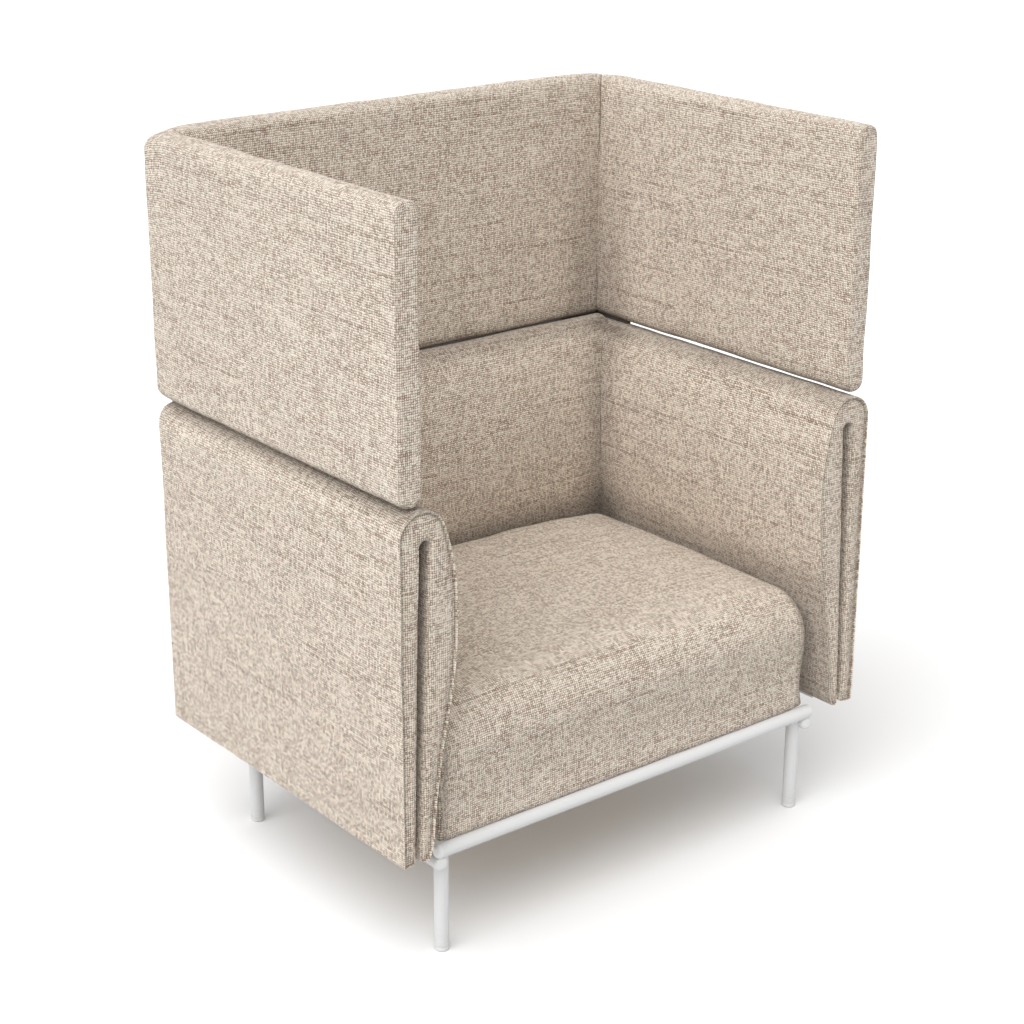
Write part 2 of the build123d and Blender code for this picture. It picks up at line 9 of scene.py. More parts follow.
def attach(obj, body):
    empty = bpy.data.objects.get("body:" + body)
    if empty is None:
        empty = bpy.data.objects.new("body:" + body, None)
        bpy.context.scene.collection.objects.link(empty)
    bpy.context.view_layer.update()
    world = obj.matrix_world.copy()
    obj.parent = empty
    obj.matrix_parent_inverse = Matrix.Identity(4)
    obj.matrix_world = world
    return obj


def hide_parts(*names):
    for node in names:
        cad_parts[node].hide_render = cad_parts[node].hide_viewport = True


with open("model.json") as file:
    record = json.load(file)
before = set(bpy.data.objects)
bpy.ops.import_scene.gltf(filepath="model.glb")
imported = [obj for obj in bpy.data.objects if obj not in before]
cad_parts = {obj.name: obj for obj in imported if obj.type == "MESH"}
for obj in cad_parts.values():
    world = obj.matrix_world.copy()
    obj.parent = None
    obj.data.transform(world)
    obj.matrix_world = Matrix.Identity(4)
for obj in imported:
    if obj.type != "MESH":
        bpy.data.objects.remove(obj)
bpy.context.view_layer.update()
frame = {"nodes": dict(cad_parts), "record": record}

scene = bpy.context.scene
mm = 0.001  # sizes below are in millimetres, meshes are in metres

# camera, set to the photograph's view
cameraView = {
    "lens": 77.16,
    "place": (-2.2705, -2.8400, 1.9413),
    "back": (-0.5839, -0.7325, 0.3500),
    "right": (0.782, -0.6233, 0.0),
    "roll": 0.173,
}


def addCamera(view):
    lens = bpy.data.cameras.new("chairCamera")
    lens.lens = view["lens"]
    lens.sensor_width = 36
    camera = bpy.data.objects.new("chairCamera", lens)
    scene.collection.objects.link(camera)
    back, right = Vector(view["back"]), Vector(view["right"])
    turn = Matrix((right, back.cross(right), back)).transposed().to_4x4()
    turn.translation = Vector(view["place"])
    camera.matrix_world = turn @ Matrix.Rotation(radians(view["roll"]), 4, "Z")
    scene.camera = camera


addCamera(cameraView)
scene.view_settings.view_transform = "Standard"
print("camera set")


# node helpers
def addNode(tree, kind, inputs=(), **settings):
    made = tree.nodes.new("ShaderNode" + kind)
    for name, value in settings.items():
        setattr(made, name, value)
    pairs = inputs.items() if isinstance(inputs, dict) else enumerate(inputs)
    for key, value in pairs:
        if isinstance(value, bpy.types.NodeSocket):
            tree.links.new(value, made.inputs[key])
        elif value is not None:
            made.inputs[key].default_value = value
    return made


def calc(tree, operation, *values, clamp=False):
    return addNode(tree, "Math", values, operation=operation, use_clamp=clamp).outputs[0]


def ranged(tree, value, low, high, outLow=0.0, outHigh=1.0, smooth=True):
    kind = "SMOOTHSTEP" if smooth else "LINEAR"
    inputs = {"Value": value, "From Min": low, "From Max": high, "To Min": outLow, "To Max": outHigh}
    return addNode(tree, "MapRange", inputs, interpolation_type=kind).outputs["Result"]


def mixed(tree, factor, first, second, blend="MIX"):
    return addNode(tree, "Mix", {0: factor, 6: first, 7: second}, data_type="RGBA", blend_type=blend).outputs[2]


def noise(tree, vector, scale, detail=2.0, roughness=0.5):
    inputs = {"Vector": vector, "Scale": scale, "Detail": detail, "Roughness": roughness}
    return addNode(tree, "TexNoise", inputs).outputs["Fac"]


def scaled(tree, vector, factors):
    return addNode(tree, "VectorMath", {0: vector, 1: factors}, operation="MULTIPLY").outputs[0]


def startGroup(name, inputs, outputs):
    group = bpy.data.node_groups.new(name, "ShaderNodeTree")
    for direction, sockets in (("INPUT", inputs), ("OUTPUT", outputs)):
        for label, kind in sockets.items():
            group.interface.new_socket(name=label, in_out=direction, socket_type="NodeSocket" + kind)
    return group, group.nodes.new("NodeGroupInput").outputs, group.nodes.new("NodeGroupOutput")


def useGroup(tree, group, inputs):
    return addNode(tree, "Group", inputs, node_tree=group).outputs


# shared effects
effectOutputs = {"Color": "Color", "Height": "Float", "Roughness": "Float"}
weaveForm = {
    "wanderScale": 130.0, "wander": 0.9, "archDepth": 0.75, "archFloor": 0.25,
    "warpRun": 0.11, "weftRun": 0.07, "rowRun": 0.018, "rowShift": 91.0, "rowChance": (0.93, 0.97),
    "fleck": (330.0, 3.0, 0.7), "cloud": (34.0, 3.0, 0.6),
    "blush": (48.0, 95.0, 1.0), "blushRange": (0.4, 0.6),
    "slubLevel": (13.0, 300.0, 1.0), "slubLevelRange": (0.6, 0.72),
    "slubUpright": (300.0, 15.0, 1.0), "slubUprightRange": (0.64, 0.76), "slubUprightShare": 0.5,
    "cellTone": 0.72, "yarnTone": 0.3, "fleckTone": 0.9, "cloudTone": 0.25, "archTone": 1.05,
    "rowTone": -0.25, "slubTone": 0.35, "brownRange": (0.0, 0.5), "creamRange": (0.45, 0.95),
    "fleckRise": 0.4, "slubRise": 0.4, "cellRise": 0.3, "toneShine": -0.12, "rough": 0.95,
}


def buildWeave(form):
    inputs = {"Flat": "Vector", "Pitch": "Float", "Cream": "Color", "Rose": "Color", "Olive": "Color"}
    # the last two inputs carry painted shade: its mask and the tint it darkens towards
    inputs.update({"Brown": "Color", "Tone": "Float", "Slub": "Float", "ShadeAmount": "Float", "ShadeTint": "Color"})
    tree, given, out = startGroup("bouclePlainWeave", inputs, effectOutputs)
    flat = given["Flat"]
    centred = lambda value: calc(tree, "SUBTRACT", value, 0.5)
    floored = lambda value: calc(tree, "FLOOR", value)
    times = lambda value, factor: calc(tree, "MULTIPLY", value, factor)
    wander = addNode(tree, "TexNoise", {"Vector": flat, "Scale": form["wanderScale"], "Detail": 1.0}).outputs["Color"]
    wander = addNode(tree, "VectorMath", {0: wander, 1: (0.5, 0.5, 0.5)}, operation="SUBTRACT").outputs[0]
    wander = addNode(tree, "VectorMath", {0: wander, "Scale": form["wander"]}, operation="SCALE").outputs[0]
    perMetre = calc(tree, "DIVIDE", 1.0, given["Pitch"])
    yarnSpace = addNode(tree, "VectorMath", {0: flat, "Scale": perMetre}, operation="SCALE").outputs[0]
    yarnSpace = addNode(tree, "VectorMath", {0: yarnSpace, 1: wander}, operation="ADD").outputs[0]
    across, up = addNode(tree, "SeparateXYZ", {0: yarnSpace}).outputs[:2]
    column, row = floored(across), floored(up)
    parity = calc(tree, "FLOORED_MODULO", calc(tree, "ADD", column, row), 2.0)
    arch = lambda place: calc(tree, "SINE", times(calc(tree, "FRACT", place), pi))
    archColumn, archRow = arch(across), arch(up)

    # an upright yarn lies on top where parity is 1, a level one where it is 0
    def yarnTop(mainArch, otherArch):
        return times(mainArch, calc(tree, "MULTIPLY_ADD", otherArch, form["archDepth"], form["archFloor"]))

    upright, level = yarnTop(archColumn, archRow), yarnTop(archRow, archColumn)
    yarn = addNode(tree, "Mix", {0: parity, 2: level, 3: upright}, data_type="FLOAT").outputs[0]

    def draw(first, second):
        place = addNode(tree, "CombineXYZ", {0: first, 1: second}).outputs[0]
        return addNode(tree, "TexWhiteNoise", {"Vector": place}, noise_dimensions="2D").outputs["Value"]

    cellDraw = draw(column, row)
    warpDraw = draw(column, floored(times(up, form["warpRun"])))
    weftDraw = draw(floored(times(across, form["weftRun"])), row)
    yarnDraw = addNode(tree, "Mix", {0: parity, 2: weftDraw, 3: warpDraw}, data_type="FLOAT").outputs[0]
    rowLine = draw(floored(times(across, form["rowRun"])), calc(tree, "ADD", row, form["rowShift"]))
    fleck = noise(tree, flat, *form["fleck"])
    cloud = noise(tree, flat, *form["cloud"])
    blush = noise(tree, scaled(tree, flat, form["blush"]), 1.0, 3.0, 0.65)
    slubLevel = noise(tree, scaled(tree, flat, form["slubLevel"]), 1.0, 1.0)
    slubUpright = noise(tree, scaled(tree, flat, form["slubUpright"]), 1.0, 1.0)
    slubLevel = ranged(tree, slubLevel, *form["slubLevelRange"])
    slubUpright = ranged(tree, slubUpright, *form["slubUprightRange"])
    streak = times(calc(tree, "MULTIPLY_ADD", slubUpright, form["slubUprightShare"], slubLevel), given["Slub"])

    # the yarn's arch also sets the tone, lighter on each crown and darker where it dips: painted light and shade on
    # the yarns
    tone = given["Tone"]
    for value, weight in (
        (centred(cellDraw), form["cellTone"]), (centred(yarnDraw), form["yarnTone"]),
        (centred(fleck), form["fleckTone"]), (centred(cloud), form["cloudTone"]),
        (centred(yarn), form["archTone"]), (ranged(tree, rowLine, *form["rowChance"]), form["rowTone"]),
    ):
        tone = calc(tree, "MULTIPLY_ADD", value, weight, tone)
    tone = calc(tree, "MULTIPLY_ADD", streak, form["slubTone"], tone, clamp=True)
    middle = mixed(tree, ranged(tree, blush, *form["blushRange"]), given["Olive"], given["Rose"])
    color = mixed(tree, ranged(tree, tone, *form["brownRange"], smooth=False), given["Brown"], middle)
    color = mixed(tree, ranged(tree, tone, *form["creamRange"], smooth=False), color, given["Cream"])
    # darkened towards the shade tint where the crease mask is set: painted shade in creases, recesses and corners
    color = mixed(tree, given["ShadeAmount"], color, mixed(tree, 1.0, color, given["ShadeTint"], "MULTIPLY"))
    height = yarn
    for value, weight in ((fleck, form["fleckRise"]), (streak, form["slubRise"]), (cellDraw, form["cellRise"])):
        height = calc(tree, "MULTIPLY_ADD", value, weight, height)
    rough = calc(tree, "MULTIPLY_ADD", tone, form["toneShine"], form["rough"])
    for key, value in (("Color", color), ("Height", height), ("Roughness", rough)):
        tree.links.new(value, out.inputs[key])
    return tree


wearForm = {
    "broad": (14.0, 4.0, 0.6), "scuffScale": (60.0, 60.0, 420.0), "dirt": (0.42, 0.39, 0.35, 1),
    "dustUp": (0.2, 1.0), "dustRange": (0.45, 0.7), "dustShare": 0.35, "lowRange": (0.06, 0.0),
    "lowScuff": (0.4, 0.7), "scuffRange": (0.66, 0.8), "scuffShare": 0.3,
    "rough": 0.28, "wornRough": 0.3, "broadRough": 0.16,
}


def buildWear(form):
    inputs = {"Clean": "Color", "Amount": "Float", "Grain": "Float"}
    tree, given, out = startGroup("handlingWear", inputs, effectOutputs)
    place = addNode(tree, "NewGeometry").outputs
    broad = noise(tree, place["Position"], *form["broad"])
    fine = noise(tree, place["Position"], given["Grain"])
    scuff = noise(tree, scaled(tree, place["Position"], form["scuffScale"]), 1.0, 3.0, 0.65)
    up = addNode(tree, "SeparateXYZ", {0: place["Normal"]}).outputs[2]
    dust = calc(tree, "MULTIPLY", ranged(tree, up, *form["dustUp"]), ranged(tree, broad, *form["dustRange"]))
    low = ranged(tree, addNode(tree, "SeparateXYZ", {0: place["Position"]}).outputs[2], *form["lowRange"])
    lowScuff = calc(tree, "MULTIPLY", low, ranged(tree, scuff, *form["lowScuff"]))
    worn = calc(tree, "ADD", calc(tree, "MULTIPLY", dust, form["dustShare"]), lowScuff)
    streak = calc(tree, "MULTIPLY", ranged(tree, scuff, *form["scuffRange"]), form["scuffShare"])
    worn = calc(tree, "MULTIPLY", calc(tree, "ADD", worn, streak), given["Amount"], clamp=True)
    color = mixed(tree, worn, given["Clean"], form["dirt"])
    rough = calc(tree, "MULTIPLY_ADD", worn, form["wornRough"], form["rough"])
    rough = calc(tree, "MULTIPLY_ADD", broad, form["broadRough"], rough)
    for key, value in (("Color", color), ("Height", fine), ("Roughness", rough)):
        tree.links.new(value, out.inputs[key])
    return tree


weaveGroup = buildWeave(weaveForm)
wearGroup = buildWear(wearForm)


def startMaterial(name, constants):
    material = bpy.data.materials.new(name)
    material.use_nodes = True
    tree = material.node_tree
    shader = tree.nodes["Principled BSDF"]
    for key, value in constants.items():
        shader.inputs[key].default_value = value
    return material, tree, shader


def addBump(tree, shader, height, distance, strength=1.0):
    bump = addNode(tree, "Bump", {"Height": height, "Distance": distance, "Strength": strength})
    tree.links.new(bump.outputs[0], shader.inputs["Normal"])


fabricLook = {
    "pitch": 0.0039,
    "cream": (0.94, 0.855, 0.728, 1),
    "rose": (0.66, 0.515, 0.43, 1),
    "olive": (0.61, 0.54, 0.445, 1),
    "brown": (0.28, 0.195, 0.14, 1),
    # the tint of the painted shade in creases, recesses and corners
    "paintedShade": (0.3, 0.285, 0.27, 1),
    "tone": 0.6, "slub": 0.8, "bump": 0.0012,
}


def fabricMaterial(name, look):
    material, tree, shader = startMaterial(
        name, {"Sheen Weight": 0.18, "Sheen Roughness": 0.5, "Specular IOR Level": 0.12}
    )
    flat = addNode(tree, "UVMap", uv_map="weave").outputs[0]
    # a mesh attribute that says where shade is painted
    shadeMask = addNode(tree, "Attribute", attribute_name="paintedShadeMask").outputs["Fac"]
    weave = useGroup(tree, weaveGroup, {
        "Flat": flat, "Pitch": look["pitch"], "Cream": look["cream"], "Rose": look["rose"],
        "Olive": look["olive"], "Brown": look["brown"], "Tone": look["tone"], "Slub": look["slub"],
        "ShadeAmount": shadeMask, "ShadeTint": look["paintedShade"],
    })
    tree.links.new(weave["Color"], shader.inputs["Base Color"])
    tree.links.new(weave["Roughness"], shader.inputs["Roughness"])
    addBump(tree, shader, weave["Height"], look["bump"])
    return material


def coatedMaterial(name, look):
    material, tree, shader = startMaterial(name, look.get("shader", {}))
    wear = useGroup(tree, wearGroup, {"Clean": look["clean"], "Amount": look["wear"], "Grain": look["grain"]})
    tree.links.new(wear["Color"], shader.inputs["Base Color"])
    tree.links.new(wear["Roughness"], shader.inputs["Roughness"])
    addBump(tree, shader, wear["Height"], look["bump"], 0.5)
    return material


def feltMaterial(name, look):
    constants = {"Roughness": 0.95, "Specular IOR Level": 0.1, "Sheen Weight": 0.1}
    material, tree, shader = startMaterial(name, constants)
    place = addNode(tree, "NewGeometry").outputs
    fibre = noise(tree, scaled(tree, place["Position"], (700.0, 700.0, 1500.0)), 1.0, 3.0, 0.65)
    blotch = noise(tree, place["Position"], 60.0, 2.0)
    color = mixed(tree, ranged(tree, fibre, 0.3, 0.7), look["dark"], look["light"])
    color = mixed(tree, ranged(tree, blotch, 0.4, 0.7, 0.0, 0.4), color, look["dark"])
    tree.links.new(color, shader.inputs["Base Color"])
    addBump(tree, shader, fibre, 0.0006)
    return material


def plywoodMaterial(name):
    material, tree, shader = startMaterial(name, {"Specular IOR Level": 0.3})
    place = addNode(tree, "NewGeometry").outputs
    grain = noise(tree, scaled(tree, place["Position"], (9.0, 160.0, 160.0)), 1.0, 4.0, 0.6)
    figure = noise(tree, scaled(tree, place["Position"], (2.0, 22.0, 22.0)), 1.0, 3.0, 0.5)
    color = mixed(tree, ranged(tree, grain, 0.3, 0.7), (0.66, 0.49, 0.31, 1), (0.8, 0.65, 0.46, 1))
    color = mixed(tree, ranged(tree, figure, 0.5, 0.75, 0.0, 0.4), color, (0.55, 0.38, 0.23, 1))
    tree.links.new(color, shader.inputs["Base Color"])
    tree.links.new(ranged(tree, grain, 0.2, 0.8, 0.5, 0.75), shader.inputs["Roughness"])
    addBump(tree, shader, grain, 0.0003, 0.6)
    return material


def zincMaterial(name):
    material, tree, shader = startMaterial(name, {"Metallic": 1.0})
    place = addNode(tree, "NewGeometry").outputs
    spangle = addNode(tree, "TexVoronoi", {"Vector": place["Position"], "Scale": 420.0}).outputs["Color"]
    shade = addNode(tree, "SeparateColor", {0: spangle}).outputs[0]
    fine = noise(tree, place["Position"], 1400.0, 2.0)
    color = mixed(tree, shade, (0.58, 0.58, 0.57, 1), (0.74, 0.74, 0.73, 1))
    tree.links.new(color, shader.inputs["Base Color"])
    tree.links.new(ranged(tree, fine, 0.3, 0.7, 0.3, 0.46), shader.inputs["Roughness"])
    addBump(tree, shader, fine, 0.0001, 0.4)
    return material


fabric = fabricMaterial("beigeBoucle", fabricLook)
# near-black felt, dark as painted shade in the gaps under the screen
shadeFelt = feltMaterial("shadeDarkFelt", {"dark": (0.05, 0.043, 0.037, 1), "light": (0.11, 0.095, 0.08, 1)})
powderCoat = coatedMaterial("whitePowderCoat", {
    "clean": (0.75, 0.75, 0.75, 1), "wear": 0.25, "grain": 1100.0, "bump": 0.00012,
    "shader": {"Specular IOR Level": 0.5, "Coat Weight": 0.08, "Coat Roughness": 0.35},
})
plugPlastic = coatedMaterial("whitePlugPlastic", {
    "clean": (0.83, 0.83, 0.82, 1), "wear": 0.3, "grain": 2200.0, "bump": 0.00005,
    "shader": {"Specular IOR Level": 0.42},
})
plywood = plywoodMaterial("birchPlywood")
zinc = zincMaterial("zincPlate")
print("materials built")


# finishes of the rigid pieces that the frame brings
def dressNode(node, material):
    mesh = node.data
    mesh.materials.clear()
    mesh.materials.append(material)


finishes = {
    "white_steel": powderCoat, "white_plastic": plugPlastic, "plywood": plywood,
    "zinc_steel": zinc, "fabric": fabric,
}
slotOf = {part["node"]: part["material_slot"] for part in frame["record"]["subparts"]}
for name, node in frame["nodes"].items():
    dressNode(node, finishes[slotOf[name]])
print("rigid pieces finished")


# mesh helpers
def evenTicks(length, rim, step):
    rim = np.array(rim, float)
    count = max(1, round((length - 2 * rim[-1]) / step))
    middle = np.linspace(rim[-1], length - rim[-1], count + 1)
    return np.concatenate([rim[:-1], middle, (length - rim[:-1])[::-1]])


def boxSurface(ticks):
    # vertices and quads on the six sides of a box of grid lines
    counts = [len(row) for row in ticks]
    shell = np.ones(counts, bool)
    shell[1:-1, 1:-1, 1:-1] = False
    number = np.full(counts, -1)
    number[shell] = np.arange(shell.sum())
    places = np.argwhere(shell)
    points = np.stack([ticks[k][places[:, k]] for k in range(3)], 1)
    quads, sides = [], []
    for axis in range(3):
        for end in (0, -1):
            sheet = np.take(number, end, axis)
            four = np.stack([sheet[:-1, :-1], sheet[1:, :-1], sheet[1:, 1:], sheet[:-1, 1:]], -1)
            four = four.reshape(-1, 4)
            if (end == 0) != (axis == 1):
                four = four[:, ::-1]
            quads.append(four)
            sides += [2 * axis - end] * len(four)
    return points, np.concatenate(quads), np.array(sides)


def softened(points, size, radius):
    # rounds the box's edges, with a radius for each of its three ways
    radius = np.minimum(radius, 0.45 * size)
    core = np.clip(points, radius, size - radius)
    lean = (points - core) / radius
    reach = np.maximum(np.sqrt((lean**2).sum(1, keepdims=True)), 1e-9)
    return core + radius * lean * np.abs(lean).max(1, keepdims=True) / reach


def turnTo(start, heading, end, steps):
    # an arc from start, tangent to heading, that ends at end
    start, end = np.array(start, float), np.array(end, float)
    chord = end - start
    side = np.array([-heading[1], heading[0]])
    radius = chord @ chord / (2 * chord @ side)
    centre = start + side * radius
    first = np.arctan2(*(start - centre)[::-1])
    last = np.arctan2(*(end - centre)[::-1])
    sweep = (last - first) % (2 * pi) if radius > 0 else -((first - last) % (2 * pi))
    angles = first + sweep * np.linspace(0, 1, steps + 1)[1:]
    points = centre + abs(radius) * np.stack([np.cos(angles), np.sin(angles)], 1)
    spun = np.array([
        cos(sweep) * heading[0] - sin(sweep) * heading[1],
        sin(sweep) * heading[0] + cos(sweep) * heading[1],
    ])
    return points, spun


def travelled(curve):
    return np.concatenate([[0], np.cumsum(np.linalg.norm(np.diff(curve, axis=0), axis=1))])


def follow(curve, travel, at):
    return np.stack([np.interp(at, travel, curve[:, k]) for k in (0, 1)], 1)


def smoothStep(value, low, high):
    share = np.clip((value - low) / (high - low), 0, 1)
    return share * share * (3 - 2 * share)


def near(distance, reach, start=0.0):
    return 1 - smoothStep(distance, start, reach)


def makePiece(name, points, quads, flat, material, shadeMask=0.0):
    corner = points[quads]
    volume = np.einsum("ij,ij->i", corner[:, 0], np.cross(corner[:, 1], corner[:, 2])).sum()
    volume += np.einsum("ij,ij->i", corner[:, 0], np.cross(corner[:, 2], corner[:, 3])).sum()
    if volume < 0:
        quads, flat = quads[:, ::-1], flat[:, ::-1]
    mesh = bpy.data.meshes.new(name)
    mesh.from_pydata((points * mm).tolist(), [], quads.tolist())
    layer = mesh.uv_layers.new(name="weave")
    layer.data.foreach_set("uv", (flat * mm).astype(np.float32).ravel())
    # per-point amount of painted shade, read by the fabric
    paintedShade = mesh.attributes.new("paintedShadeMask", "FLOAT", "POINT")
    paintedShade.data.foreach_set("value", (np.zeros(len(points)) + shadeMask).astype(np.float32))
    mesh.polygons.foreach_set("use_smooth", [True] * len(quads))
    mesh.materials.append(material)
    piece = bpy.data.objects.new(name, mesh)
    scene.collection.objects.link(piece)
    return piece


def readPoints(mesh):
    points = np.empty(3 * len(mesh.vertices))
    mesh.vertices.foreach_get("co", points)
    return points.reshape(-1, 3)


def writePoints(mesh, points):
    mesh.vertices.foreach_set("co", points.ravel())
    mesh.update()


def readNormals(mesh):
    normals = np.empty(3 * len(mesh.vertices))
    mesh.vertex_normals.foreach_get("vector", normals)
    return normals.reshape(-1, 3)


clothStep = {"frames": 20, "quality": 3, "mass": 0.3, "grades": 10}


def plump(piece, held, look):
    # drawn in a little, then blown up by the cloth solver between its seams
    mesh = piece.data
    free = 1 - held
    start = readPoints(mesh)
    writePoints(mesh, start - readNormals(mesh) * (free * look["drawIn"] * mm)[:, None])
    drawn = readPoints(mesh)
    group = piece.vertex_groups.new(name="seams")
    grade = np.round(held * clothStep["grades"]).astype(int)
    for level in range(1, clothStep["grades"] + 1):
        some = np.nonzero(grade == level)[0]
        if len(some):
            group.add(some.tolist(), level / clothStep["grades"], "REPLACE")
    cloth = piece.modifiers.new("cloth", "CLOTH")
    cloth.settings.quality = clothStep["quality"]
    cloth.settings.mass = clothStep["mass"]
    for kind in ("tension", "compression", "shear"):
        setattr(cloth.settings, kind + "_stiffness", look["stiff"])
    cloth.settings.bending_stiffness = look["bend"]
    cloth.settings.use_pressure = True
    cloth.settings.uniform_pressure_force = look["pressure"]
    cloth.settings.effector_weights.gravity = 0
    cloth.settings.vertex_group_mass = "seams"
    cloth.collision_settings.use_collision = False
    cloth.point_cache.frame_start = 1
    cloth.point_cache.frame_end = clothStep["frames"]
    for step in range(1, clothStep["frames"] + 1):
        scene.frame_set(step)
    blown = readPoints(piece.evaluated_get(bpy.context.evaluated_depsgraph_get()).data)
    piece.modifiers.remove(cloth)
    piece.vertex_groups.clear()
    scene.frame_set(1)
    move = blown - drawn
    far = np.linalg.norm(move, axis=1, keepdims=True)
    limit = look["limit"] * mm
    placed = drawn + move * limit / np.sqrt(limit**2 + far**2)
    outward = np.einsum("ij,ij->i", placed - start, readNormals(mesh)) / mm
    spread = np.percentile(outward[free > 0.5], (1, 50, 99)).round(1)
    print(piece.name, "moved", spread, "mm, top", placed[:, 2].max().round(4))
    writePoints(mesh, placed)


foamSwell = {"waves": 14, "shortest": 0.05, "longest": 0.22}


def refine(piece, look, seed):
    # one subdivision, then the slow unevenness of foam under cloth
    divide = piece.modifiers.new("divide", "SUBSURF")
    divide.levels = divide.render_levels = 1
    divide.uv_smooth = "PRESERVE_BOUNDARIES"
    smooth = bpy.data.meshes.new_from_object(piece.evaluated_get(bpy.context.evaluated_depsgraph_get()))
    piece.modifiers.remove(divide)
    old = piece.data
    piece.data = smooth
    bpy.data.meshes.remove(old)
    smooth.name = piece.name
    points, normals = readPoints(smooth), readNormals(smooth)
    draw = np.random.default_rng(seed)
    swell = np.zeros(len(points))
    for _ in range(foamSwell["waves"]):
        way = draw.normal(size=3)
        way *= 2 * pi / (draw.uniform(foamSwell["shortest"], foamSwell["longest"]) * np.linalg.norm(way))
        swell += np.sin(points @ way + draw.uniform(0, 2 * pi))
    swell *= look["uneven"] * mm / sqrt(foamSwell["waves"])
    writePoints(smooth, points + normals * swell[:, None])


def settle(piece, nodes):
    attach(piece, "root")
    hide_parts(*nodes)


# folded pads: outer skin, slot skin, and the thickness between them
leafSteps, foldSteps = 80, 60


def foldCurves(pad):
    turn = radians(pad["foldShort"])
    radius, bottom = pad["foldRadius"], pad["bottom"]
    foldZ = pad["top"] - radius
    slotZ = foldZ - pad["slotDrop"]
    leaf = np.linspace(bottom, foldZ, leafSteps + 1)
    angles = np.linspace(pi, turn, foldSteps + 1)[1:]
    outer = [np.stack([0 * leaf, leaf], 1)]
    outer.append(np.stack([radius + radius * np.cos(angles), foldZ + radius * np.sin(angles)], 1))
    start, heading = outer[-1][-1], np.array([sin(turn), -cos(turn)])
    for x, z in pad["profile"]:
        arc, heading = turnTo(start, heading, (x, z), 30)
        outer.append(arc)
        start = arc[-1]
    outer = np.concatenate(outer)
    browZ = foldZ + radius * sin(turn)
    up = (leaf - bottom) / (foldZ - bottom)
    axis, slotR = pad["slotAxis"], pad["slotRadius"]
    outerFoot, innerFoot = pad["slotOuterFoot"], pad["slotInnerFoot"]
    inner = [np.stack([outerFoot + up * (axis - slotR - outerFoot), bottom + up * (slotZ - bottom)], 1)]
    slotAngles = (angles - turn) * pi / (pi - turn)
    inner.append(np.stack([axis + slotR * np.cos(slotAngles), slotZ + slotR * np.sin(slotAngles)], 1))
    down = (browZ - outer[leafSteps + foldSteps + 1:, 1]) / (browZ - bottom)
    inner.append(np.stack([axis + slotR + down * (innerFoot - axis - slotR), slotZ + down * (bottom - slotZ)], 1))
    return outer, np.concatenate(inner)


def foldRows(pad, length, arcStart, arcEnd):
    # grid lines along the skin: even ones on the fold, and none on the leaves just beside it
    rows = np.concatenate([
        evenTicks(2 * arcStart, pad["hem"], pad["step"]),
        np.linspace(arcStart, arcEnd, pad["foldTicks"]),
        length - evenTicks(2 * (length - arcEnd), pad["hem"], pad["step"]),
    ])
    rows = rows[(rows >= 0) & (rows <= length)]
    rows = np.unique(np.round(rows, 3))
    first, last = rows < arcStart - 4, rows > arcEnd + 4
    middle = (rows >= arcStart - 0.01) & (rows <= arcEnd + 0.01)
    return rows[first | middle | last]


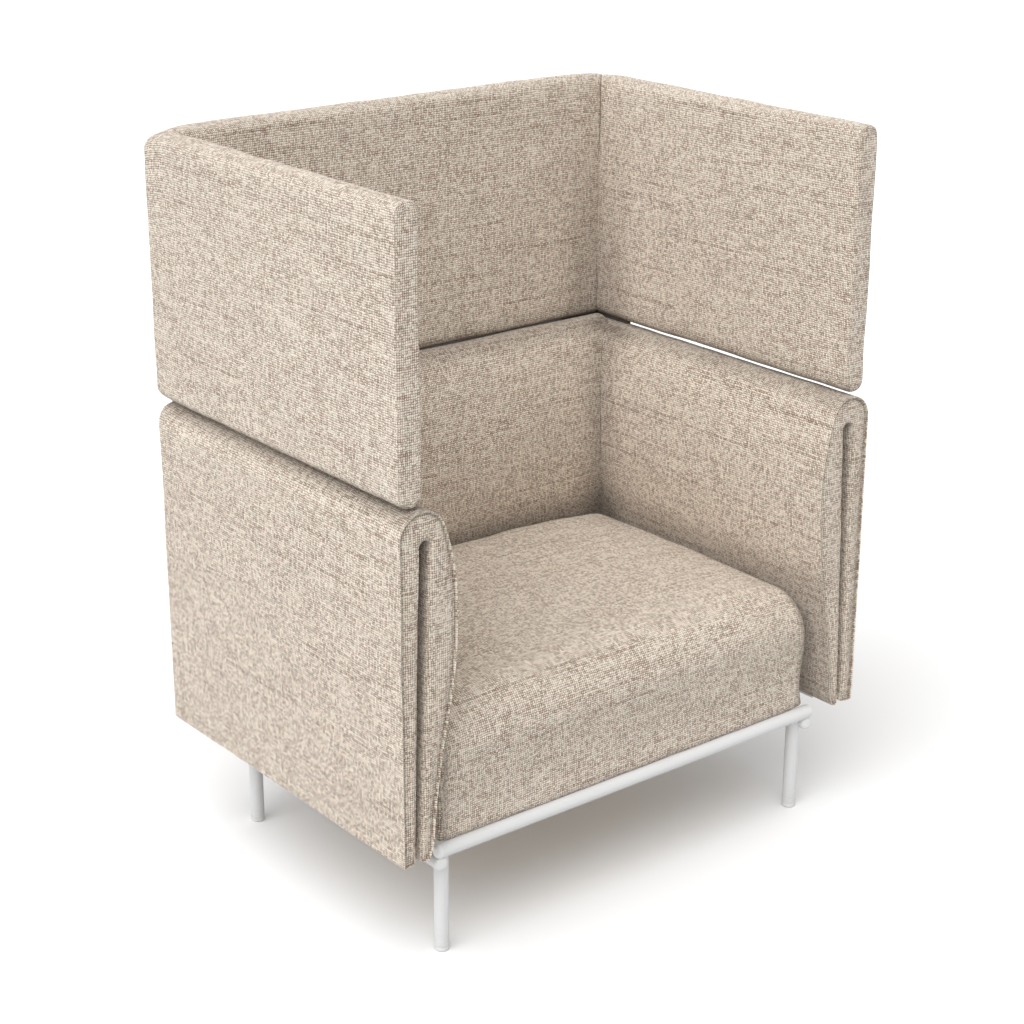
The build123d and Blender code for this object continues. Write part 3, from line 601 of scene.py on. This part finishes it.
def foldedPad(name, pad, place, material, seed):
    outer, inner = foldCurves(pad)
    travel = travelled(outer)
    length, width = travel[-1], pad["width"]
    arcStart, arcEnd = travel[leafSteps], travel[leafSteps + foldSteps]
    columns = evenTicks(width, pad["rim"], pad["step"])
    grid, quads, sides = boxSurface((foldRows(pad, length, arcStart, arcEnd), np.array(pad["shares"]), columns))
    thick = np.linalg.norm(follow(outer, travel, grid[:, 0]) - follow(inner, travel, grid[:, 0]), axis=1)
    box = np.stack([grid[:, 0], grid[:, 1] * thick, grid[:, 2]], 1)
    size = np.stack([np.full(len(box), length), thick, np.full(len(box), width)], 1)
    radius = np.full((len(box), 3), pad["round"])
    radius[grid[:, 1] > 0.5, 1:] = pad["slotRound"]
    shape = softened(box, size, radius)
    # the end faces sink just inside the rim of the skin and swell again towards the slot
    lip = pad["lip"]
    inset = np.min([shape[:, 1], shape[:, 0] + 3, length - shape[:, 0] + 3], axis=0)
    dish = pad["dish"] * smoothStep(inset, lip, lip + pad["dishReach"])
    dish -= pad["fill"] * smoothStep(inset, lip + pad["fillStart"], lip + pad["fillEnd"])
    front, rear = grid[:, 2] == 0, grid[:, 2] == width
    shape[front, 2] += dish[front]
    shape[rear, 2] -= dish[rear]
    skin, lining = follow(outer, travel, shape[:, 0]), follow(inner, travel, shape[:, 0])
    flatPlace = skin + (lining - skin) * (shape[:, 1] / thick)[:, None]
    # the outer shoulder of the fold is squarer at the rear end
    if pad["squareEnd"]:
        lean = (flatPlace - (pad["foldRadius"], pad["top"] - pad["foldRadius"])) / pad["foldRadius"]
        reach = np.maximum(np.linalg.norm(lean, axis=1), 1e-9)
        square = ((np.abs(lean[:, 0]) / reach) ** 3 + (np.abs(lean[:, 1]) / reach) ** 3) ** (-1 / 3) - 1
        square *= (lean[:, 0] < 0) * (lean[:, 1] > 0) * (1 - grid[:, 1])
        square *= smoothStep(shape[:, 2], width - pad["squareEnd"], width)
        flatPlace = flatPlace + lean * (pad["foldRadius"] * square)[:, None]
    points = place(flatPlace, shape[:, 2])
    shift = 137.0 * seed
    maps = {
        0: np.stack([grid[:, 2] + shift, box[:, 1] + 900], 1),
        1: np.stack([grid[:, 2] + shift, grid[:, 0] + 700 * (grid[:, 1] > 0.5)], 1),
        2: np.stack([flatPlace[:, 0] + shift + 300, flatPlace[:, 1]], 1),
    }
    flat = np.stack([maps[k][quads] for k in range(3)])[sides // 2, np.arange(len(quads))]
    # painted shade: in the seam of the end faces, deep in the slot, under the screen and in the inner corners
    fromEnd = np.minimum(grid[:, 2], width - grid[:, 2])
    onEnd = (front | rear) & (grid[:, 1] > 0) & (pad["dish"] > 0)
    face = pad["faceShade"] * near(inset, pad["faceReach"]) * (inset > pad["faceStart"])
    shadeMask = onEnd * (pad["seamShade"] * near(np.abs(inset - pad["seamInset"]), pad["seamWidth"]) + face)
    inSlot = smoothStep(np.minimum(shape[:, 2], width - shape[:, 2]), 4, 30)
    shadeMask = shadeMask + pad["slotShade"] * (grid[:, 1] > 0.6) * inSlot
    shadeMask += (grid[:, 1] == 0) * pad["topShade"] * near(pad["top"] - flatPlace[:, 1], pad["topReach"], 3.0)
    inward = (grid[:, 1] == 0) * (grid[:, 0] > arcEnd - 40) * pad["innerShade"]
    fromCorner = np.abs(width - pad["cornerAt"] - grid[:, 2]) if pad["cornerAt"] else fromEnd
    shadeMask += inward * near(fromCorner, pad["cornerReach"])
    shadeMask += inward * near(flatPlace[:, 1] - pad["seatLine"], pad["seatReach"])
    piece = makePiece(name, points, quads, flat, material, np.minimum(shadeMask, pad["shadeLimit"]))
    # held by its seams, near the fold, and where the back pad covers an arm
    edge = np.min([fromEnd, grid[:, 0], length - grid[:, 0]], axis=0)
    held = near(edge, pad["seamReach"], 3)
    fold = np.maximum(arcStart - grid[:, 0], grid[:, 0] - arcEnd)
    held = np.maximum(held, near(fold, pad["foldHold"]))
    covered = (grid[:, 0] > arcEnd) * near(width - grid[:, 2], pad["rearHold"] + 60, pad["rearHold"])
    held = np.maximum(held, covered)
    held[grid[:, 1] > 0] = 1
    plump(piece, held, pad)
    refine(piece, pad, seed)
    return piece


armPad = {
    "half": 508.0, "front": -360.0, "width": 707.0, "top": 795.0, "bottom": 203.5,
    "foldRadius": 45.0, "foldShort": 18.0, "squareEnd": 70.0,
    "profile": ((111.0, 615.0), (95.5, 465.0), (67.0, 300.0), (60.0, 228.0), (48.0, 203.5)),
    "slotAxis": 49.5, "slotRadius": 10.3, "slotDrop": 14.0, "slotOuterFoot": 25.0, "slotInnerFoot": 34.5,
    "step": 20.0, "foldTicks": 17, "hem": (0, 1.2, 2.5, 4, 8), "rim": (0, 0.7, 1.4, 2.4, 4, 6.5, 9, 16),
    "shares": (0, 0.015, 0.035, 0.06, 0.085, 0.12, 0.16, 0.21, 0.28, 0.37, 0.5,
               0.63, 0.72, 0.79, 0.84, 0.88, 0.915, 0.94, 0.965, 0.985, 1),
    "round": 2.4, "slotRound": 9.0,
    "lip": 1.6, "dish": 4.6, "dishReach": 2.4, "fill": 2.6, "fillStart": 4, "fillEnd": 19,
    # painted shade: in the end faces' seam and recess, in the slot, under the screen, in the inner corners and along
    # the seat
    "seamShade": 0.45, "seamInset": 5.2, "seamWidth": 3.0, "faceShade": 0.3, "faceReach": 17.0, "faceStart": 2.5,
    "slotShade": 0.8, "topShade": 0.5, "topReach": 34.0, "innerShade": 0.4, "cornerAt": 104.0, "cornerReach": 80.0,
    "seatLine": 440.0, "seatReach": 60.0, "shadeLimit": 0.9,
    "foldHold": 90.0, "rearHold": 125.0, "seamReach": 60.0,
    "drawIn": 1.2, "pressure": 4.0, "stiff": 15.0, "bend": 0.5, "limit": 3.0, "uneven": 0.4,
}


def armPlace(sign, pad):
    def place(flat, along):
        return np.stack([sign * (pad["half"] - flat[:, 0]), pad["front"] + along, flat[:, 1]], 1)
    return place


for side, sign, seed in (("left", -1, 1), ("right", 1, 2)):
    arm = foldedPad(side + "ArmPad", armPad, armPlace(sign, armPad), fabric, seed)
    settle(arm, [side + "_arm_pad"])
print("arm pads made")

backPad = dict(
    armPad, top=804.5, width=904.0, rear=347.0, gap=0.2,
    profile=((116.0, 615.0), (104.0, 465.0), (67.0, 300.0), (60.0, 228.0), (48.0, 203.5)),
    rim=(0, 0.5, 1.2, 3, 9, 16), round=1.2, slotRound=1.2,
    dish=0.0, fill=0.0, squareEnd=0.0, rearHold=-60.0, cornerAt=0.0,
)


def backPlace(pad, arm):
    # the back pad ends on the arms' inner faces
    outer = foldCurves(arm)[0]
    face = outer[np.argmax(outer[:, 1]):][::-1]

    def place(flat, along):
        reach = np.interp(flat[:, 1], face[:, 1], face[:, 0])
        reach = np.where(flat[:, 1] > arm["top"], arm["foldRadius"], reach)
        half = np.minimum(pad["width"] / 2, arm["half"] - reach - pad["gap"])
        return np.stack([(along / pad["width"] * 2 - 1) * half, pad["rear"] - flat[:, 0], flat[:, 1]], 1)
    return place


back = foldedPad("backPad", backPad, backPlace(backPad, armPad), fabric, 3)
settle(back, ["back_pad"])
print("back pad made")

# felt rests between the pads and the screen at the two rear corners, near black so that they read as painted shade in
# the corner gaps
cornerRest = {
    "line": ((470.5, 237.0), (470.5, 332.5), (384.0, 332.5)), "half": 5.5,
    "bottom": 784.0, "top": 801.0, "round": 2.0, "step": 9.0, "rim": (0, 1, 2),
}


def makeRests(pad, material):
    line = np.array(pad["line"])
    travel = travelled(line)
    tall, wide = pad["top"] - pad["bottom"], 2 * pad["half"]
    across = np.array((0, 1, 2, wide / 2, wide - 2, wide - 1, wide))
    up = np.array((0, 1, 2, tall - 2, tall - 1, tall))
    grid, quads = boxSurface((evenTicks(travel[-1], pad["rim"], pad["step"]), across, up))[:2]
    shape = softened(grid, np.array([travel[-1], wide, tall]), pad["round"])
    along = follow(line, travel, shape[:, 0])
    first, second = line[1] - line[0], line[2] - line[1]
    first, second = first / np.linalg.norm(first), second / np.linalg.norm(second)
    turn = np.clip((shape[:, 0] - travel[1]) / (2 * pad["half"]) + 0.5, 0, 1)[:, None]
    heading = first * (1 - turn) + second * turn
    heading /= np.linalg.norm(heading, axis=1, keepdims=True)
    side = np.stack([heading[:, 1], -heading[:, 0]], 1)
    plan = along + side * (shape[:, 1:2] - pad["half"])
    right = np.stack([plan[:, 0], plan[:, 1], pad["bottom"] + shape[:, 2]], 1)
    both = np.concatenate([right, right * (-1, 1, 1)])
    faces = np.concatenate([quads, quads[:, ::-1] + len(right)])
    flat = np.concatenate([grid[:, :2], grid[:, :2]])[faces]
    return makePiece("cornerRests", both, faces, flat, material)


settle(makeRests(cornerRest, shadeFelt), ["screen_rest_blocks"])
print("corner rests made")

# seat cushion
seatCushion = {
    "half": 413.0, "front": -337.0, "back": 243.0, "under": 207.3, "edgeZ": 427.0, "crown": 24.0, "sag": 5.0,
    "noseDepth": 74.0, "noseHeight": 92.0, "draw": 5.0, "backRound": 16.0, "sideRound": 22.0, "lowRound": 6.0,
    "step": 17.0, "hem": (0, 3, 8, 16), "rim": (0, 3, 7, 12, 18, 26, 38),
    "shares": (0, 0.012, 0.03, 0.05, 0.08, 0.13, 0.2, 0.32, 0.5, 0.7, 0.86, 0.95, 1),
    # painted shade along the rear edge, the sides and the front's foot
    "rearShade": 0.55, "rearShadeSpan": (190.0, 250.0), "sideShade": 0.3, "sideReach": 26.0, "footReach": 18.0,
    "seamSpan": (10, 120), "sideHeld": 0.7,
    "drawIn": 2.0, "pressure": 4.0, "stiff": 15.0, "bend": 0.5, "limit": 3.0, "uneven": 0.7,
}


def seatWrap(pad, share):
    front = pad["front"] + pad["draw"] * share**4 / 2
    top = pad["edgeZ"] + pad["crown"] * (1 - share**4)
    rear = np.linspace(pad["under"] + 8, top - pad["sag"] - pad["backRound"], 30)
    parts = [np.stack([np.full(30, pad["back"]), rear], 1)]
    turnEnd = (pad["back"] - pad["backRound"], top - pad["sag"])
    turn = turnTo(parts[0][-1], np.array([0.0, 1.0]), turnEnd, 12)[0]
    parts.append(turn)
    middle = np.array([(pad["back"] + front) / 2, top])
    first, last = turn[-1], np.array([front + pad["noseDepth"], top - pad["sag"] / 2])
    # the circle through three points, by its perpendicular bisectors
    system = 2 * np.array([middle - first, last - first])
    centre = np.linalg.solve(system, [middle @ middle - first @ first, last @ last - first @ first])
    radius = np.linalg.norm(first - centre)
    angles = np.linspace(np.arctan2(*(first - centre)[::-1]), np.arctan2(*(last - centre)[::-1]), 60)[1:]
    parts.append(centre + radius * np.stack([np.cos(angles), np.sin(angles)], 1))
    heading = np.array([-sin(angles[-1]), cos(angles[-1])])
    nose, heading = turnTo(parts[-1][-1], heading, (front, top - pad["noseHeight"]), 40)
    parts.append(nose)
    parts.append(turnTo(nose[-1], heading, (front + pad["draw"], pad["under"]), 40)[0])
    return np.concatenate(parts)


def makeSeat(pad, material, seed):
    # a table of wraps, from the middle of the seat to its side, each sampled evenly
    levels, samples = 32, 400
    wraps = [seatWrap(pad, share) for share in np.linspace(0, 1, levels + 1)]
    length, width = travelled(wraps[0])[-1], 2 * pad["half"]
    even = np.linspace(0, 1, samples + 1)
    table = np.stack([follow(wrap, travelled(wrap) / travelled(wrap)[-1], even) for wrap in wraps])
    rows = evenTicks(length, pad["hem"], pad["step"])
    grid, quads, sides = boxSurface((rows, np.array(pad["shares"]), evenTicks(width, pad["rim"], pad["step"])))

    def skinAt(along, sideways):
        level = np.abs(sideways / width * 2 - 1) * levels
        low = np.clip(level.astype(int), 0, levels - 1)
        blend = (level - low)[:, None]
        at = np.clip(along / length, 0, 1) * samples
        left = np.clip(at.astype(int), 0, samples - 1)
        part = (at - left)[:, None]
        pick = lambda row: table[row, left] * (1 - part) + table[row, left + 1] * part
        return pick(low) * (1 - blend) + pick(low + 1) * blend

    def liningAt(along, sideways):
        share = np.clip(along / length, 0, 1)[:, None]
        front = pad["front"] + pad["draw"] * (1 + np.abs(sideways / width * 2 - 1) ** 4 / 2)
        start = np.stack([np.full(len(along), pad["back"]), np.full(len(along), pad["under"])], 1)
        end = np.stack([front + 8, np.full(len(along), pad["under"])], 1)
        return start * (1 - share) + end * share

    thick = np.linalg.norm(skinAt(grid[:, 0], grid[:, 2]) - liningAt(grid[:, 0], grid[:, 2]), axis=1)
    box = np.stack([grid[:, 0], grid[:, 1] * thick, grid[:, 2]], 1)
    size = np.stack([np.full(len(box), length), thick, np.full(len(box), width)], 1)
    radius = np.full((len(box), 3), pad["lowRound"])
    radius[grid[:, 1] <= 0.5, 1:] = pad["sideRound"]
    shape = softened(box, size, radius)
    skin, lining = skinAt(shape[:, 0], shape[:, 2]), liningAt(shape[:, 0], shape[:, 2])
    flatPlace = skin + (lining - skin) * (shape[:, 1] / thick)[:, None]
    points = np.stack([shape[:, 2] - pad["half"], flatPlace[:, 0], flatPlace[:, 1]], 1)
    maps = {
        0: np.stack([grid[:, 2], box[:, 1] + 900], 1),
        1: np.stack([grid[:, 2] + 411, grid[:, 0]], 1),
        2: np.stack([flatPlace[:, 0] + 1700, flatPlace[:, 1]], 1),
    }
    flat = np.stack([maps[k][quads] for k in range(3)])[sides // 2, np.arange(len(quads))]
    # painted shade along the rear edge, the sides and the front's foot
    shadeMask = pad["rearShade"] * near(grid[:, 0], pad["rearShadeSpan"][1], pad["rearShadeSpan"][0])
    shadeMask += pad["sideShade"] * near(np.minimum(grid[:, 2], width - grid[:, 2]), pad["sideReach"])
    shadeMask += pad["sideShade"] * near(length - grid[:, 0], pad["footReach"])
    piece = makePiece("seatCushion", points, quads, flat, material, shadeMask)
    edge = np.min([grid[:, 0], length - grid[:, 0]], axis=0)
    held = 1 - smoothStep(edge, *pad["seamSpan"])
    held[grid[:, 1] > 0.9] = 1
    atSide = (grid[:, 2] < 1) | (grid[:, 2] > width - 1)
    held[atSide] = np.maximum(held[atSide], pad["sideHeld"])
    plump(piece, held, pad)
    refine(piece, pad, seed)
    return piece


seat = makeSeat(seatCushion, fabric, 4)
settle(seat, ["seat_cushion"])
print("seat cushion made")

# screen: three upholstered panels, mitred at the rear corners
screenPanel = {
    "half": 500.0, "front": -349.0, "rear": 360.0, "bottom": 799.0, "height": 467.0, "thick": 44.0,
    "outerRound": 20.0, "innerRound": 18.0, "mitreRound": 8.0, "mitreDepth": 0.5, "frontRound": 5.0, "gap": 0.03,
    "belly": 2.2, "innerBelly": 5.0, "cornerDrop": 13.0, "cornerLift": 5.0, "cornerReach": 62.0,
    "sideCrown": -0.8, "backCrown": 3.6, "step": 22.0, "rim": (0, 1.5, 3.2, 5.5, 9, 14, 20),
    "across": (0, 1.5, 3.2, 5.5, 9, 14, 20, 23, 26, 31, 36, 39.5, 41.5, 43, 44.0), "hem": (0, 2, 5, 9, 14, 20),
    # painted shade in the inner corners, low on the inner faces and along the foot
    "jointShade": 0.4, "jointReach": 85.0, "innerShade": 0.3, "innerReach": 40.0, "footShade": 0.35, "footReach": 12.0,
    "uneven": 0.7,
}


def panelShape(pad, length, radii, crown, name, place, seed):
    thick, height = pad["thick"], pad["height"]
    rows, levels = evenTicks(length, pad["rim"], pad["step"]), evenTicks(height, pad["hem"], pad["step"])
    grid, quads, sides = boxSurface((rows, np.array(pad["across"]), levels))
    section = np.stack([np.zeros(len(grid)), grid[:, 1], grid[:, 2]], 1)
    size = np.array([1.0, thick, height])
    radius = np.where(grid[:, 1:2] < thick / 2, pad["outerRound"], pad["innerRound"])
    radius = np.concatenate([np.ones((len(grid), 1)), radius, radius], 1)
    core = np.clip(section, radius, size - radius)
    core[:, 0] = 0
    lean = (section - core) / radius
    reach = np.maximum(np.linalg.norm(lean, axis=1, keepdims=True), 1e-9)
    edge = np.abs(lean).max(1, keepdims=True)
    rounded = core + radius * lean * edge / reach
    # the ends: inset along the section's own inward way
    insets = np.array([grid[:, 1], thick - grid[:, 1], grid[:, 2], height - grid[:, 2]])
    inset, nearest = insets.min(axis=0), insets.argmin(axis=0)
    endRound = np.where(grid[:, 0] < length / 2, radii[0], radii[1])
    spot = np.stack([grid[:, 0], inset], 1)
    spotSize = np.stack([np.full(len(grid), length), np.full(len(grid), 1000.0)], 1)
    base = np.clip(spot, endRound[:, None], spotSize - endRound[:, None])
    tilt = (spot - base) / endRound[:, None]
    away = np.maximum(np.linalg.norm(tilt, axis=1, keepdims=True), 1e-9)
    moved = base + endRound[:, None] * tilt * np.abs(tilt).max(1, keepdims=True) / away
    inward = -lean / reach
    flatWay = np.zeros_like(inward)
    for k, (axis, way) in enumerate(((1, 1), (1, -1), (2, 1), (2, -1))):
        flatWay[nearest == k, axis] = way
    inCorner = (np.abs(lean[:, 1]) > 1e-6) & (np.abs(lean[:, 2]) > 1e-6)
    inward = np.where(inCorner[:, None], inward, flatWay)
    # a mitred end only dips towards its joint, a free end is rounded in full
    dip = pad["mitreDepth"] * smoothStep(grid[:, 1], 0.25 * thick, 0.75 * thick)
    depth = np.where(endRound == pad["mitreRound"], dip, 1.0)
    rounded += inward * ((moved[:, 1] - spot[:, 1]) * depth)[:, None]
    rounded[:, 0] = spot[:, 0] + (moved[:, 0] - spot[:, 0]) * np.where(depth < 1, 0, 1)
    along, level = 1 - (2 * grid[:, 0] / length - 1) ** 6, np.abs(2 * grid[:, 2] / height - 1)
    outerBelly, innerBelly = -pad["belly"] * (1 - level**6), pad["innerBelly"] * (1 - level**2.5)
    belly = np.where(grid[:, 1] < thick / 2, outerBelly, innerBelly)
    rounded[:, 1] += belly * along * np.abs(grid[:, 1] / thick - 0.5) * 2
    rounded[:, 2] += crown * along * smoothStep(grid[:, 2], height / 2, height)
    points = place(rounded)
    # the outer rear corners are pulled down at the top and up at the bottom
    corner = np.hypot(pad["half"] - np.abs(points[:, 0]), pad["rear"] - points[:, 1]) / pad["cornerReach"]
    pull = np.clip(1 - corner, 0, 1) ** 1.6
    bottom, middle = pad["bottom"], pad["bottom"] + height / 2
    points[:, 2] -= pull * pad["cornerDrop"] * smoothStep(points[:, 2], middle, bottom + height)
    points[:, 2] += pull * pad["cornerLift"] * near(points[:, 2], middle, bottom)
    top = np.where(grid[:, 1] < 1e-6, grid[:, 2], 2 * height + thick - grid[:, 2])
    shift = 173.0 * seed
    wrapTop = np.where(grid[:, 2] > height / 2, height + grid[:, 1], -grid[:, 1])
    maps = {
        0: np.stack([grid[:, 1] + shift + 900, grid[:, 2]], 1),
        1: np.stack([grid[:, 0] + shift, top], 1),
        2: np.stack([grid[:, 0] + shift, wrapTop], 1),
    }
    flat = np.stack([maps[k][quads] for k in range(3)])[sides // 2, np.arange(len(quads))]
    # painted shade in the inner corners, low on the inner faces and along the foot
    fromJoint = np.minimum(grid[:, 0], length - grid[:, 0]) - thick
    atJoint = (endRound == pad["mitreRound"]) * near(fromJoint, pad["jointReach"])
    inner = smoothStep(grid[:, 1], 0.6 * thick, 0.95 * thick)
    shadeMask = pad["jointShade"] * inner * atJoint * near(grid[:, 2], height)
    shadeMask += pad["innerShade"] * inner * near(grid[:, 2], pad["innerReach"], 4.0)
    shadeMask += pad["footShade"] * near(grid[:, 2], pad["footReach"])
    piece = makePiece(name, points, quads, flat, fabric, shadeMask)
    refine(piece, pad, seed)
    return piece


def sidePanelPlace(sign, pad):
    length = pad["rear"] - pad["front"]

    def place(shape):
        y = pad["front"] + shape[:, 0] * (1 - (shape[:, 1] + pad["gap"]) / length)
        return np.stack([sign * (pad["half"] - shape[:, 1]), y, pad["bottom"] + shape[:, 2]], 1)
    return place


def backPanelPlace(pad):
    def place(shape):
        x = (shape[:, 0] / pad["half"] - 1) * (pad["half"] - shape[:, 1] - pad["gap"])
        return np.stack([x, pad["rear"] - shape[:, 1], pad["bottom"] + shape[:, 2]], 1)
    return place


sideLength = screenPanel["rear"] - screenPanel["front"]
mitreRound = screenPanel["mitreRound"]
sideEnds, backEnds = (screenPanel["frontRound"], mitreRound), (mitreRound, mitreRound)
for side, sign, seed in (("left", -1, 5), ("right", 1, 6)):
    place = sidePanelPlace(sign, screenPanel)
    panel = panelShape(screenPanel, sideLength, sideEnds, screenPanel["sideCrown"], side + "ScreenPanel", place, seed)
    settle(panel, [side + "_screen_pad"])
place = backPanelPlace(screenPanel)
backLength = 2 * screenPanel["half"]
panel = panelShape(screenPanel, backLength, backEnds, screenPanel["backCrown"], "backScreenPanel", place, 7)
settle(panel, ["back_screen_pad"])
print("screen panels made")


# floor and light
studio = {
    "size": 30.0, "floor": (0.55, 0.55, 0.55, 1), "floorSeen": (0.97, 0.97, 0.97, 1), "sky": 0.7, "skySeen": 1.0,
    "lamps": (
        ("keyLight", 2.0, 60.0, (-0.5, -0.19, 0.845), True),
        ("bounceLight", 0.45, 90.0, (-0.88, -0.12, 0.46), False),
    ),
}


def seenStraight(tree):
    # 1 for what the camera, a reflection or a view through something clear shows
    paths = addNode(tree, "LightPath").outputs
    indirect = calc(tree, "ADD", paths["Is Glossy Ray"], paths["Is Transmission Ray"])
    return calc(tree, "ADD", paths["Is Camera Ray"], indirect, clamp=True)


def addStage(look):
    mesh = bpy.data.meshes.new("studioFloor")
    corners = [(x * look["size"], y * look["size"], 0) for x, y in ((-1, -1), (1, -1), (1, 1), (-1, 1))]
    mesh.from_pydata(corners, [], [(0, 1, 2, 3)])
    floor = bpy.data.objects.new("studioFloor", mesh)
    scene.collection.objects.link(floor)
    material, tree, shader = startMaterial("studioFloor", {"Roughness": 0.9, "Specular IOR Level": 0.1})
    color = mixed(tree, seenStraight(tree), look["floor"], look["floorSeen"])
    tree.links.new(color, shader.inputs["Base Color"])
    mesh.materials.append(material)
    world = bpy.data.worlds.new("studioSky")
    world.use_nodes = True
    scene.world = world
    tree = world.node_tree
    inputs = {0: seenStraight(tree), 2: look["sky"], 3: look["skySeen"]}
    strength = addNode(tree, "Mix", inputs, data_type="FLOAT").outputs[0]
    shade = tree.nodes["Background"]
    shade.inputs["Color"].default_value = (1, 1, 1, 1)
    tree.links.new(strength, shade.inputs["Strength"])
    for name, strength, angle, way, shadow in look["lamps"]:
        lamp = bpy.data.lights.new(name, "SUN")
        lamp.energy = strength
        lamp.angle = radians(angle)
        lamp.use_shadow = shadow
        light = bpy.data.objects.new(name, lamp)
        light.rotation_euler = Vector(way).to_track_quat("Z", "Y").to_euler()
        scene.collection.objects.link(light)


addStage(studio)
print("floor and light set")
